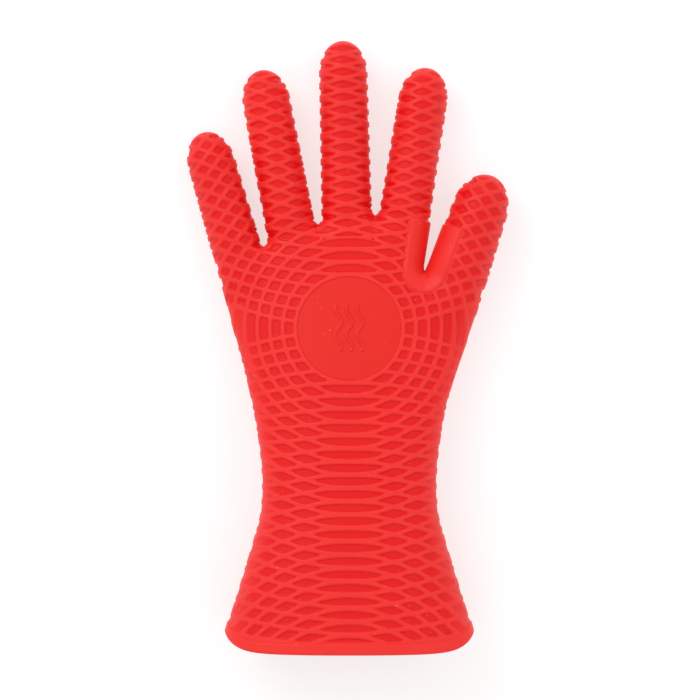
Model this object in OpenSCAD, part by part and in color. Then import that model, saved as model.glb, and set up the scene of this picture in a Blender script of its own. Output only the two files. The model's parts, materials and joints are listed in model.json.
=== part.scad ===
// Heat resistant glove: five fingers and a flared cuff, moulded from silicone, lying flat with its palm up.
// The origin is on the flat underside, below the centre of the palm disc.
// +X points to the thumb, +Y to the fingertips and +Z up. The back of the hand rests on z = 0.
// The moulding is divided where it bends: rigid sections are joined by soft bend zones.

/* [Shell] */
// Thickness of the moulded wall
wall = 2.4; // [1.8:0.1:3.0]
// Gap between sections that move against each other
move_gap = 0.3; // [0.3:0.1:0.6]
// How far the underside is flattened by lying on a surface
sink = 0.6; // [0.3:0.1:1.0]

/* [Palm] */
// Width of the palm across the disc's upper edge, where the stalls begin
palm_w = 121; // [104:1:146]
// Depth of the hand where the fingers leave it
root_depth = 25.2; // [23:0.2:30]
// From the disc's centre up to the line where the stalls begin
stall_line = 10; // [6:1:14]
// From the disc's centre down to the narrowest part of the wrist
disc_to_wrist = 75; // [64:1:90]

/* [Wrist and cuff] */
// Width at the narrowest part of the wrist
wrist_w = 85; // [74:1:100]
// Depth at the wrist
wrist_depth = 43.2; // [36:0.2:52]
// Length of the zone that bends at the wrist
wrist_bend_len = 30; // [26:1:36]
// Width of the open end
hem_w = 120; // [104:1:144]
// Depth of the open end
hem_depth = 54; // [45:0.5:64]
// From the narrowest part of the wrist to the corners of the open end
cuff_len = 71; // [62:1:86]
// How far the middle of the open end bows out past its corners
hem_bow = 8; // [0:1:12]
// Width of the smooth band round the open end
hem_band = 5; // [4:0.5:8]
// How far that band and the web guard stand proud
band_rise = 0.8; // [0.4:0.1:1.2]

/* [Palm disc and web guard] */
// Diameter of the smooth disc on the palm
disc_d = 50; // [40:1:60]
// Depth of the disc's face below the palm
disc_recess = 0.4; // [0.2:0.1:0.8]
// Interference between the disc's rim and its seat
disc_press = 0.05; // [0.03:0.01:0.08]
// Width of the smooth band round the thumb's web
guard_w = 10; // [8:0.5:13]
// Length of the band's legs along the index finger and the thumb
guard_leg = 21; // [14:1:24]

/* [Little finger] */
// Place of the root across the palm, as a share of half its width
little_across = -0.904; // [-0.95:0.01:-0.86]
// Height of the root above the stall line
little_up = 26.9; // [24:0.5:30]
// Lean of the finger towards the thumb side
little_lean = -16.2; // [-20:0.5:-12]
// Length from root to tip
little_len = 61.7; // [55:0.5:75]
// Diameter at the root
little_d = 24.8; // [23:0.2:26]

/* [Ring finger] */
// Place of the root across the palm, as a share of half its width
ring_across = -0.474; // [-0.5:0.01:-0.45]
// Height of the root above the stall line
ring_up = 38.4; // [35:0.5:42]
// Lean of the finger towards the thumb side
ring_lean = -10.8; // [-13:0.5:-9]
// Length from root to tip
ring_len = 79.7; // [66:0.5:96]
// Diameter at the root
ring_d = 24.8; // [23:0.2:26]

/* [Middle finger] */
// Place of the root across the palm, as a share of half its width
middle_across = -0.021; // [-0.05:0.01:0.01]
// Height of the root above the stall line
middle_up = 45.1; // [41:0.5:48]
// Lean of the finger towards the thumb side
middle_lean = -1.4; // [-4:0.5:1]
// Length from root to tip
middle_len = 86; // [71:0.5:104]
// Diameter at the root
middle_d = 25; // [23:0.2:26]

/* [Index finger] */
// Place of the root across the palm, as a share of half its width
index_across = 0.441; // [0.42:0.01:0.46]
// Height of the root above the stall line
index_up = 43.3; // [40:0.5:46]
// Lean of the finger towards the thumb side
index_lean = 9; // [7:0.5:11]
// Length from root to tip
index_len = 75.4; // [63:0.5:91]
// Diameter at the root
index_d = 25.4; // [23:0.2:26]

/* [Thumb] */
// Place of the root across the palm, as a share of half its width
thumb_across = 0.858; // [0.83:0.01:0.89]
// Height of the root above the stall line
thumb_up = 13.1; // [11:0.5:15]
// Lean of the thumb away from the fingers
thumb_lean = 18.7; // [16:0.5:22]
// Length from root to tip
thumb_len = 54.7; // [52:0.5:66]
// Diameter at the root
thumb_d = 30; // [27:0.2:31]

/* [Bends in the fingers] */
// Length of the zone that bends at the root of a finger
root_bend_len = 19; // [17:0.5:20]
// Length of the zone that bends in the middle of a finger
mid_bend_len = 17; // [15:0.5:18]
// Place of that zone's middle, as a share of the finger's length
mid_bend_place = 0.6; // [0.58:0.01:0.62]
// How much shorter the bend zones of the little finger and the thumb are
short_bend_cut = 2; // [0:0.5:3]
// Share of a finger's diameter that is left at its tip
tip_taper = 0.95; // [0.85:0.01:1]
// Length of the rounded tip as a share of its radius
tip_point = 1.3; // [1:0.05:1.5]

/* [Hidden] */

silicone = [0.93, 0.17, 0.17];
smooth_silicone = [0.97, 0.26, 0.24];
bend_silicone = [0.82, 0.12, 0.13];

// Exponent of the shell's rounded cross-section: 2 is an ellipse
roundness = 2.4;
// Points round a section of the shell
ring_points = 40;
// Facets round the stubs that the palm gives to each stall
stub_facets = 48;
// How far a stub reaches past its finger's root
root_margin = 1.5;
// Thickness of the slices that a stub is stretched between
slice = 0.2;
// Height of a finger above the surface that the glove lies on
floor_gap = 0.2;
// Steps round the rounded end of a stall
tip_steps = 14;
// Exponent of the palm's widening from the wrist, and the sharpness of the cuff's flare
palm_spread = 1.6;
flare_start = 0.2;
flare_soft = 0.08;

wrist_y = -disc_to_wrist;
hem_y = wrist_y - cuff_len;
free_y = stall_line + middle_up - 5;
palm_end_y = wrist_y + wrist_bend_len / 2;
cuff_end_y = wrist_y - wrist_bend_len / 2;
stub_y = 0;

// Each finger: place across, root above the stall line, lean, length, root diameter, bend zones' shortening
LITTLE = [little_across, little_up, little_lean, little_len, little_d, short_bend_cut];
RING = [ring_across, ring_up, ring_lean, ring_len, ring_d, 0];
MIDDLE = [middle_across, middle_up, middle_lean, middle_len, middle_d, 0];
INDEX = [index_across, index_up, index_lean, index_len, index_d, 0];
THUMB = [thumb_across, thumb_up, thumb_lean, thumb_len, thumb_d, short_bend_cut];
FINGERS = [LITTLE, RING, MIDDLE, INDEX, THUMB];

function root_r(f) = f[4] / 2;
function tip_r(f) = root_r(f) * tip_taper;
function cap_len(f) = tip_r(f) * tip_point;
function axis_z(f) = root_r(f) + floor_gap;
function root_xy(f) = [f[0] * palm_w / 2, stall_line + f[1]];
function along(f) = [sin(f[2]), cos(f[2])];
function across(f) = [cos(f[2]), -sin(f[2])];
// Distance along a finger where its first bend ends, and where its second bend starts and ends
function root_bend_end(f) = root_margin + root_bend_len - f[5];
function mid_bend_start(f) = f[3] * mid_bend_place - (mid_bend_len - f[5]) / 2;
function mid_bend_end(f) = f[3] * mid_bend_place + (mid_bend_len - f[5]) / 2;

// How sharply the cuff flares at a share t of its length, growing from 0 to 1
function flare(t) = (bent(t) - bent(0)) / (bent(1) - bent(0));
function bent(t) = sqrt(pow(t - flare_start, 2) + pow(flare_soft, 2)) + t - flare_start;

// Half the width of the palm and cuff at a place along the glove
function half_w(y) = y < wrist_y
    ? wrist_w / 2 + (hem_w - wrist_w) / 2 * flare((wrist_y - y) / cuff_len)
    : wrist_w / 2 + (palm_w - wrist_w) / 2 * pow((y - wrist_y) / (stall_line - wrist_y), palm_spread);

// Half the depth there: straight from the finger roots to the wrist, and straight on to the open end
function half_h(y) = y < wrist_y
    ? (wrist_depth + (hem_depth - wrist_depth) * (wrist_y - y) / cuff_len) / 2
    : (wrist_depth + (root_depth - wrist_depth) * min(1, (y - wrist_y) / (free_y - wrist_y))) / 2;

function bow(y) = y < cuff_end_y ? hem_bow * pow((cuff_end_y - y) / (cuff_end_y - hem_y), 2) : 0;
function mid_z(y) = half_h(y) - sink;
// Height of the palm's surface above its middle, at a place across it
function crown(x, y) = half_h(y) * pow(1 - pow(min(1, abs(x) / half_w(y)), roundness), 1 / roundness);

function signed_power(v, e) = sign(v) * pow(abs(v), e);
function section_point(y, grow, a) =
    let (x = (half_w(y) + grow) * signed_power(cos(a), 2 / roundness))
    let (z = mid_z(y) + (half_h(y) + grow) * signed_power(sin(a), 2 / roundness))
    [x, y - bow(y) * (1 - pow(x / (half_w(y) + grow), 2)), z];
function section(y, grow) = [for (i = [0:ring_points - 1]) section_point(y, grow, 360 * i / ring_points)];
function laid(points) = [for (p = points) [p[0], p[1], max(0, p[2])]];
function steps(from, to, n) = [for (i = [0:n]) from + (to - from) * i / n];
function quad(a, b) =
    [for (i = [0:ring_points - 1]) let (j = (i + 1) % ring_points) [a + i, a + j, b + j, b + i]];

// A solid through the sections at ys
module loft(ys, grow) {
    last = (len(ys) - 1) * ring_points;
    points = [for (y = ys) each section(y, grow)];
    sides = [for (k = [0:len(ys) - 2]) each quad(k * ring_points, (k + 1) * ring_points)];
    low_end = [for (i = [ring_points - 1:-1:0]) i];
    high_end = [for (i = [0:ring_points - 1]) last + i];
    polyhedron(points = points, faces = concat(sides, [low_end], [high_end]), convexity = 4);
}

// A tube through the sections at ys, its outer face raised by rise and its underside laid flat
module tube(ys, rise = 0) {
    n = len(ys) * ring_points;
    last = n - ring_points;
    outer = [for (y = ys) each laid(section(y, rise))];
    inner = [for (y = ys) each section(y, -wall)];
    out_faces = [for (k = [0:len(ys) - 2]) each quad(k * ring_points, (k + 1) * ring_points)];
    in_faces = [for (k = [0:len(ys) - 2]) each quad(n + (k + 1) * ring_points, n + k * ring_points)];
    ends = concat(quad(n, 0), quad(last, n + last));
    polyhedron(points = concat(outer, inner), faces = concat(out_faces, in_faces, ends), convexity = 6);
}

// Puts something that stands along +Z on a finger's axis, at a distance from its root
module on_finger(f, distance = 0) {
    at = root_xy(f);
    translate([at[0], at[1], axis_z(f)])
        rotate([0, 0, -f[2]])
            rotate([-90, 0, 0])
                translate([0, 0, distance])
                    children();
}

function point_on(f, s) = root_xy(f) + s * along(f);
// Distance along a finger of the line where its stub starts inside the palm
function stub_start(f) = (stub_y - root_xy(f)[1]) / cos(f[2]);
function stub_start_r(f) = crown(point_on(f, stub_start(f))[0], stub_y);

// A slice across a finger's stub, at distance s along it
module stub_slice(f, s, grow) {
    share = min(1, max(0, s / stub_start(f)));
    at = point_on(f, s);
    r = root_r(f) + (stub_start_r(f) - root_r(f)) * share + grow;
    translate([at[0], at[1], axis_z(f) + (mid_z(stub_y) - axis_z(f)) * share])
        rotate([0, 0, -f[2]])
            rotate([-90, 0, 0])
                translate([0, 0, -slice])
                    cylinder(r = r / cos(180 / stub_facets), h = slice, $fn = stub_facets);
}

module stub(f, grow) {
    reach = grow < 0 ? root_margin + slice : root_margin;
    hull() {
        stub_slice(f, stub_start(f), grow);
        stub_slice(f, reach, grow);
    }
}

// How far along finger g the root of its neighbour f ends, on the side (+1 or -1) of f that faces g
function level(f, g, side) = (root_xy(f) + side * root_r(f) * across(f) - root_xy(g)) * along(g);

// The palm between two neighbouring stubs, up to the lower of their roots
module web(f, g, grow) {
    hull() {
        stub_slice(f, stub_start(f), grow);
        stub_slice(g, stub_start(g), grow);
        stub_slice(f, min(0, level(g, f, -1)) + grow, grow);
        stub_slice(g, min(0, level(f, g, 1)) + grow, grow);
    }
}

// The hand without its stalls: its outer face with grow = 0, and its hollow with grow = -wall
module hand_form(grow) {
    past = grow < 0 ? 1 : 0;
    loft(steps(palm_end_y - past, stall_line - past * wall, 8), grow);
    for (f = FINGERS) stub(f, grow);
    for (i = [0:len(FINGERS) - 2]) web(FINGERS[i], FINGERS[i + 1], grow);
}

module above_floor() {
    reach = 4 * palm_w;
    translate([-reach / 2, -reach / 2, 0]) cube([reach, reach, reach]);
}

palm_tilt = atan((half_h(-disc_d / 2) - half_h(disc_d / 2)) * 2 / disc_d);

module on_disc() {
    translate([0, 0, mid_z(0) + half_h(0) - disc_recess]) rotate([-palm_tilt, 0, 0]) children();
}

module palm_shell() {
    color(silicone)
        difference() {
            intersection() {
                hand_form(0);
                above_floor();
            }
            hand_form(-wall);
            on_disc() cylinder(d = disc_d - 2 * disc_press, h = 6 * wall, center = true, $fn = 96);
        }
}

module palm_disc() {
    color(smooth_silicone) on_disc() translate([0, 0, -wall]) cylinder(d = disc_d, h = wall, $fn = 96);
}

// The region that the guard covers, seen from above: round the thumb's web and up both its sides
module guard_outline() {
    web_at = root_xy(THUMB) - (root_r(THUMB) - 1) * across(THUMB);
    index_side = root_r(INDEX) - guard_w / 2;
    web_level = (web_at - root_xy(INDEX)) * along(INDEX);
    thumb_side = root_r(THUMB) - guard_w / 2;
    hull() {
        translate(web_at) circle(r = guard_w, $fn = 48);
        translate(point_on(INDEX, min(root_margin - guard_w, web_level + guard_leg)) + index_side * across(INDEX))
            circle(d = guard_w, $fn = 32);
        translate(point_on(THUMB, guard_leg - guard_w / 2) - thumb_side * across(THUMB))
            circle(d = guard_w, $fn = 32);
    }
}

module guard_form(grow) {
    hand_form(grow);
    hull() {
        stub_slice(THUMB, root_margin, grow);
        on_finger(THUMB, root_bend_end(THUMB))
            cylinder(r = (stall_r(THUMB, root_bend_end(THUMB)) + grow) / cos(180 / stub_facets), h = slice,
                $fn = stub_facets);
    }
}

module thumb_web_guard() {
    color(smooth_silicone)
        difference() {
            intersection() {
                guard_form(band_rise);
                linear_extrude(height = 3 * root_depth) guard_outline();
            }
            guard_form(0);
            on_finger(THUMB, root_bend_end(THUMB)) cylinder(r = thumb_d, h = thumb_len, $fn = 48);
        }
}

module wrist_bend() {
    color(bend_silicone) tube(steps(cuff_end_y, palm_end_y - move_gap, 4));
}

module cuff_shell() {
    color(silicone) tube(steps(hem_y + hem_band, cuff_end_y, 9));
}

module hem_band_ring() {
    color(smooth_silicone) tube(steps(hem_y, hem_y + hem_band, 2), band_rise);
}

// Outer radius of a stall at a distance from its finger's root
function stall_r(f, s) = let (straight = f[3] - cap_len(f))
    s < straight ? root_r(f) + (tip_r(f) - root_r(f)) * s / straight
                 : tip_r(f) * sqrt(max(0, 1 - pow((s - straight) / cap_len(f), 2)));

// One length of a stall, open at both ends
module stall_tube(f, from, to) {
    on_finger(f)
        rotate_extrude($fn = 96)
            polygon([[stall_r(f, from) - wall, from], [stall_r(f, from), from],
                     [stall_r(f, to), to], [stall_r(f, to) - wall, to]]);
}

// The closed end of a stall, with its rounded tip
module stall_tip(f, from) {
    straight = f[3] - cap_len(f);
    past = max(0, from - straight);
    outer = [for (a = steps(asin(past / cap_len(f)), 90, tip_steps))
        [tip_r(f) * cos(a), straight + cap_len(f) * sin(a)]];
    inner = [for (a = steps(90, asin(past / (cap_len(f) - wall)), tip_steps))
        [(tip_r(f) - wall) * cos(a), straight + (cap_len(f) - wall) * sin(a)]];
    open_end = past > 0 ? [] : [[stall_r(f, from) - wall, from], [stall_r(f, from), from]];
    on_finger(f)
        rotate_extrude($fn = 96)
            polygon(concat(open_end, outer, inner));
}

module root_bend(f) {
    color(bend_silicone) stall_tube(f, root_margin, root_bend_end(f));
}

module lower_stall(f) {
    color(silicone) stall_tube(f, root_bend_end(f) + move_gap, mid_bend_start(f));
}

module mid_bend(f) {
    color(bend_silicone) stall_tube(f, mid_bend_start(f), mid_bend_end(f));
}

module tip_stall(f) {
    color(silicone) stall_tip(f, mid_bend_end(f) + move_gap);
}

cuff_shell();
hem_band_ring();
wrist_bend();
palm_shell();
palm_disc();
thumb_web_guard();
root_bend(LITTLE);  // little_root_bend
lower_stall(LITTLE);  // little_lower_stall
mid_bend(LITTLE);  // little_mid_bend
tip_stall(LITTLE);  // little_tip_stall
root_bend(RING);  // ring_root_bend
lower_stall(RING);  // ring_lower_stall
mid_bend(RING);  // ring_mid_bend
tip_stall(RING);  // ring_tip_stall
root_bend(MIDDLE);  // middle_root_bend
lower_stall(MIDDLE);  // middle_lower_stall
mid_bend(MIDDLE);  // middle_mid_bend
tip_stall(MIDDLE);  // middle_tip_stall
root_bend(INDEX);  // index_root_bend
lower_stall(INDEX);  // index_lower_stall
mid_bend(INDEX);  // index_mid_bend
tip_stall(INDEX);  // index_tip_stall
root_bend(THUMB);  // thumb_root_bend
lower_stall(THUMB);  // thumb_lower_stall
mid_bend(THUMB);  // thumb_mid_bend
tip_stall(THUMB);  // thumb_tip_stall
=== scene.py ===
"""The looks of a five-finger silicone glove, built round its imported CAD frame.

The glove is one moulding, so its skin is worked out as one surface: a coarse net of the cuff, palm and stalls
is smoothed by subdivision, pressed with a lattice of ribs and pits, and parted where the frame's bodies meet.
Lengths inside the classes are in millimetres and become metres when a mesh is made.
"""

import json
import logging
import math
from dataclasses import dataclass
from enum import Enum, IntEnum
from typing import Callable, Dict, List, Optional, Tuple

import bpy
import numpy as np
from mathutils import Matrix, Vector

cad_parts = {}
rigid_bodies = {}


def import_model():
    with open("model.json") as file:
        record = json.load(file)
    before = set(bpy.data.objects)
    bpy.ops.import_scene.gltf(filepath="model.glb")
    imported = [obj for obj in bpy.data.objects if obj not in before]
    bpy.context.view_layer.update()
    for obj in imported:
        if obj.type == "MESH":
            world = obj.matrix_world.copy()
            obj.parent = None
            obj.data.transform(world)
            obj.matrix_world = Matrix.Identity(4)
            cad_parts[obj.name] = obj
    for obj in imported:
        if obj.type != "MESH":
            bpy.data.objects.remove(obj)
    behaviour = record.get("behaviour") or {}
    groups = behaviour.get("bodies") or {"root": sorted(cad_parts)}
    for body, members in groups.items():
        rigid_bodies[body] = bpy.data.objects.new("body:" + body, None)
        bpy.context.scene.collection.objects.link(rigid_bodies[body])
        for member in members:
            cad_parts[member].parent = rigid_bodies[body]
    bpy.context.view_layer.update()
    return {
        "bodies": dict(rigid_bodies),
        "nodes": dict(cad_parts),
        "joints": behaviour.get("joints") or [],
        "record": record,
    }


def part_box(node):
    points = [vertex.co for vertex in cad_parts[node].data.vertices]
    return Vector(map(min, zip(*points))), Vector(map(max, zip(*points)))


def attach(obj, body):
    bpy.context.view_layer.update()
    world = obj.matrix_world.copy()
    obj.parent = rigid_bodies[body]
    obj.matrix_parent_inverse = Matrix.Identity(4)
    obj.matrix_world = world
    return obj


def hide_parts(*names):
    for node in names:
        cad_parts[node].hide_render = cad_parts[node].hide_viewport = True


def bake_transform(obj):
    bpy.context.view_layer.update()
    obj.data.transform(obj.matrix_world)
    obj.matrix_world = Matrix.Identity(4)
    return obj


LOG = logging.getLogger("glove")
MM = 0.001
TINY = 1e-9  # a depth below this is none
LEAST = 1e-12  # keeps a division by a length from failing
Array = np.ndarray


class Digit(Enum):
    """The five stalls, from the little finger to the thumb, by the names that the frame gives them."""

    LITTLE = "little"
    RING = "ring"
    MIDDLE = "middle"
    INDEX = "index"
    THUMB = "thumb"


class Region(IntEnum):
    """The parts of the skin that become pieces. Each stall has two numbers, from FIRST_STALL on."""

    CUFF_FRONT = 0
    CUFF_BACK = 1
    WRIST = 2
    PALM_FRONT = 3
    PALM_BACK = 4
    FIRST_STALL = 5


def smooth(t: Array) -> Array:
    """Rises from 0 to 1 as t does, with level ends: 3 t squared less 2 t cubed."""
    t = np.clip(t, 0.0, 1.0)
    return t * t * (3.0 - 2.0 * t)


def mix(a: Array, b: Array, t: Array) -> Array:
    """The value a share t of the way from a to b."""
    return a + (b - a) * t


def node_points(frame: dict, name: str) -> Array:
    """The corners of a CAD node in millimetres, one row each."""
    mesh = frame["nodes"][name].data
    flat = np.zeros(len(mesh.vertices) * 3, np.float32)
    mesh.vertices.foreach_get("co", flat)
    return flat.reshape(-1, 3).astype(float) / MM


def box_mm(name: str) -> Tuple[Array, Array]:
    """The lowest and highest corners of a CAD node in millimetres."""
    low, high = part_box(name)
    return np.array(low) / MM, np.array(high) / MM


def half_reach(frame: dict, name: str, along: Array) -> float:
    """Half the length of a CAD node along a direction in plan, in millimetres."""
    return float(np.ptp(node_points(frame, name)[:, :2] @ along)) / 2.0


@dataclass
class Finger:
    """One stall, as its CAD nodes and joints place it.

    Attributes:
        digit: which stall it is.
        root: the point in plan where the stall leaves the palm.
        lean: its angle from +Y towards +X, in radians.
        radius: its outer radius at the root.
        tip_radius: its outer radius where the rounded tip starts.
        length: from the root to the tip.
        height: the height of its axis.
        bend: where its middle bend starts and ends along it.
        root_end: where its root bend ends along it.
    """

    digit: Digit
    root: Array
    lean: float
    radius: float
    tip_radius: float
    length: float
    height: float
    bend: Tuple[float, float]
    root_end: float
    root_start: float = 1.5  # where its root bend starts along it
    tip_point: float = 1.3  # the rounded tip's length over its radius

    @classmethod
    def from_frame(cls, digit: Digit, frame: dict) -> "Finger":
        """Reads a stall's place from the frame.

        Args:
            digit: the stall to read.

        Returns:
            The stall. Its axis is square to its joints' axis, its radii are half the heights of its tubes,
            and its length is how far the tip node's corners reach along the axis.
        """
        name = digit.value
        joints = {joint["name"]: joint for joint in frame["joints"]}
        root_joint, mid_joint = joints[f"{name}_root_flex"], joints[f"{name}_mid_flex"]
        axis = np.array(root_joint["axis"])
        lean = math.atan2(-axis[1], axis[0])
        along = np.array([math.sin(lean), math.cos(lean)])
        low, high = box_mm(f"{name}_root_bend")
        radius = (high[2] - low[2]) / 2.0
        height = (high[2] + low[2]) / 2.0
        half_root = half_reach(frame, f"{name}_root_bend", along)
        half_mid = half_reach(frame, f"{name}_mid_bend", along)
        root = np.array(root_joint["pos_m"][:2]) / MM - along * (cls.root_start + half_root)
        mid = (np.array(mid_joint["pos_m"][:2]) / MM - root) @ along
        tip_low, tip_high = box_mm(f"{name}_tip_stall")
        length = ((node_points(frame, f"{name}_tip_stall")[:, :2] - root) @ along).max()
        return cls(digit, root, lean, radius, (tip_high[2] - tip_low[2]) / 2.0, length, height,
                   (mid - half_mid, mid + half_mid), cls.root_start + 2.0 * half_root)

    @property
    def along(self) -> Array:
        """The direction from root to tip, in plan."""
        return np.array([math.sin(self.lean), math.cos(self.lean)])

    @property
    def across(self) -> Array:
        """The direction square to it, towards +X."""
        return np.array([math.cos(self.lean), -math.sin(self.lean)])

    @property
    def cap(self) -> float:
        """The length of the rounded tip."""
        return self.tip_point * self.tip_radius

    def outer(self, s: Array) -> Array:
        """The outer radius at s: straight from root to tip radius, then a quarter ellipse that closes."""
        straight = self.length - self.cap
        taper = mix(self.radius, self.tip_radius, np.clip(s / straight, 0.0, 1.0))
        past = np.clip((s - straight) / self.cap, 0.0, 1.0)
        return taper * np.sqrt(1.0 - past * past)

    def place(self, s: Array, u: Array) -> Array:
        """The plan point at a distance s along the stall and u across it."""
        return self.root + np.multiply.outer(s, self.along) + np.multiply.outer(u, self.across)

    def local(self, x: Array, y: Array) -> Tuple[Array, Array]:
        """The distances along and across the stall of plan points."""
        dx, dy = x - self.root[0], y - self.root[1]
        return dx * self.along[0] + dy * self.along[1], dx * self.across[0] + dy * self.across[1]

    def point3(self, s: float) -> Tuple[float, float, float]:
        """The point on the axis at s, in metres."""
        x, y = self.root + s * self.along
        return (x * MM, y * MM, self.height * MM)


@dataclass
class Form:
    """The smooth shape of the palm and cuff, read from the frame's nodes.

    Attributes:
        rows: the heights along Y at which the half width is known, rising.
        widths: the half width at each.
        palm_start: where the palm leaves the wrist's bend.
        cuff_end: where the cuff meets the wrist's bend.
        hem: the corners of the open end.
        bow: how far the middle of the open end lies beyond its corners.
        tops: the height of the top at the cuff's end, the middle and the palm's end of the wrist's bend.
        root_top: the height of the top where the fingers start.
        side_gain: how much further the thumb's side lies than the half width.
    """

    rows: Array
    widths: Array
    palm_start: float
    cuff_end: float
    hem: float
    bow: float
    tops: Tuple[float, float, float]
    root_top: float
    side_gain: float
    sink: float = 0.6  # how much of the underside lying flat presses away
    roundness: float = 2.4  # the superellipse's power across the palm and cuff
    gain_start: float = -45.0  # along Y, where the thumb's swell starts
    gain_end: float = 20.0  # and where it is full
    hem_flatness: float = 10.0  # how level the middle of the open end's bow is
    hem_corner: float = 0.8  # how steeply the bow ends at the corners
    read_end: float = -5.0  # the palm's corners are read up to here
    read_slack: float = 0.01  # and so much past it
    row_reach: float = 0.06  # corners this close to a row's height belong to it
    top_reach: float = 1.0  # the same for a height of the top
    least_half: float = 40.0  # a narrower row is no outline
    evenness: float = 0.5  # how much a row's two half widths may differ
    width_slack: float = 0.001

    @classmethod
    def from_frame(cls, frame: dict, thumb: Finger, ring: Finger) -> "Form":
        """Measures the rings of the CAD's cuff, wrist and palm.

        Args:
            thumb: the thumb's stall.
            ring: the ring finger's stall.

        Returns:
            The form. A half width is the largest distance from the middle plane among a row's corners, and a
            row counts only if it is wider than every row between it and the wrist, which leaves out the inner
            wall's.
        """
        wrist = node_points(frame, "wrist_bend")
        cuff_end, palm_start = wrist[:, 1].min(), wrist[:, 1].max()
        middle = (cuff_end + palm_start) / 2.0
        rows: List[float] = []
        widths: List[float] = []
        ends = {"cuff_shell": cuff_end, "wrist_bend": palm_start, "palm_shell": cls.read_end}
        for name, last in ends.items():
            points = node_points(frame, name)
            sides = points[points[:, 1] <= last + cls.read_slack]
            for level in np.unique(np.round(sides[:, 1], 1)):
                across = sides[np.abs(sides[:, 1] - level) < cls.row_reach][:, 0]
                half = np.abs(across).max()
                if min(across.max(), -across.min()) > half - cls.evenness and half > cls.least_half:
                    rows.append(float(level))
                    widths.append(float(half))
        order = np.argsort(rows)
        row_array, width_array = np.array(rows)[order], np.array(widths)[order]
        above = row_array > middle
        widest = np.concatenate([np.maximum.accumulate(width_array[~above][::-1])[::-1],
                                 np.maximum.accumulate(width_array[above])])
        outer = width_array > widest - cls.width_slack
        row_array, width_array = row_array[outer], width_array[outer]
        hem_points = node_points(frame, "hem_band_ring")
        corner = hem_points[np.argmax(np.abs(hem_points[:, 0]))]
        low, _ = box_mm("hem_band_ring")
        tops = tuple(float(wrist[np.abs(wrist[:, 1] - y) < cls.top_reach][:, 2].max())
                     for y in (cuff_end, middle, palm_start))
        form = cls(row_array, width_array, palm_start, cuff_end, float(corner[1]), float(corner[1] - low[1]),
                   tops, 2.0 * ring.radius, 0.0)
        side = thumb.place(np.array(thumb.root_start), np.array(thumb.radius))
        form.side_gain = float(side[0] - form.half_width(side[1]))
        return form

    def half_width(self, y: Array) -> Array:
        """Half the width at y: straight between the measured rows, and straight on past them."""
        y = np.asarray(y, float)
        inside = np.interp(y, self.rows, self.widths)
        end_slope = (self.widths[-1] - self.widths[-3]) / (self.rows[-1] - self.rows[-3])
        low_slope = (self.widths[0] - self.widths[2]) / (self.rows[2] - self.rows[0])
        above, below = np.maximum(0.0, y - self.rows[-1]), np.maximum(0.0, self.rows[0] - y)
        return inside + end_slope * above + low_slope * below

    def side(self, y: Array, right: Array) -> Array:
        """The distance from the middle plane to an outline: the half width, plus the thumb's swell."""
        y = np.asarray(y, float)
        swell = self.side_gain * smooth((y - self.gain_start) / (self.gain_end - self.gain_start))
        return self.half_width(y) + np.where(right, swell, 0.0)

    def half_depth(self, y: Array) -> Array:
        """Half the depth: straight lines through the wrist's three measured heights, level at the fingers."""
        y = np.asarray(y, float)
        middle = (self.cuff_end + self.palm_start) / 2.0
        down = (self.tops[0] - self.tops[1]) / (middle - self.cuff_end)
        up = (self.tops[2] - self.tops[1]) / (self.palm_start - middle)
        top = self.tops[1] + np.where(y < middle, down * (middle - y), up * (y - middle))
        return (np.maximum(top, self.root_top) + self.sink) / 2.0

    def mid(self, y: Array) -> Array:
        """The height of the middle plane: half the depth, less the part that lying flat presses away."""
        return self.half_depth(y) - self.sink

    def crown(self, x: Array, y: Array) -> Array:
        """Half the depth at a point across: a superellipse between the two outlines."""
        share = np.minimum(1.0, np.abs(x) / self.side(y, x > 0))
        return self.half_depth(y) * (1.0 - share ** self.roundness) ** (1.0 / self.roundness)

    def bowed(self, x: Array, y: Array) -> Array:
        """How far a point is carried towards the open end.

        Across, it is level with steep ends, a power of one less the tenth power, and it grows as a square
        below the wrist.
        """
        share = np.clip((self.cuff_end - y) / (self.cuff_end - self.hem), 0.0, 1.0) ** 2
        across = np.minimum(1.0, np.abs(x) / self.half_width(y))
        return self.bow * share * (1.0 - across ** self.hem_flatness) ** self.hem_corner


@dataclass(frozen=True)
class Weave:
    """How a stall's lattice is spaced: from rib to rib along it, and from column to column across it."""

    pitch: float
    column: float


WEAVES = {Digit.LITTLE: Weave(7.6, 5.2), Digit.RING: Weave(6.4, 8.5), Digit.MIDDLE: Weave(6.1, 12.2),
          Digit.INDEX: Weave(6.4, 8.5), Digit.THUMB: Weave(7.6, 5.4)}


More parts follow.
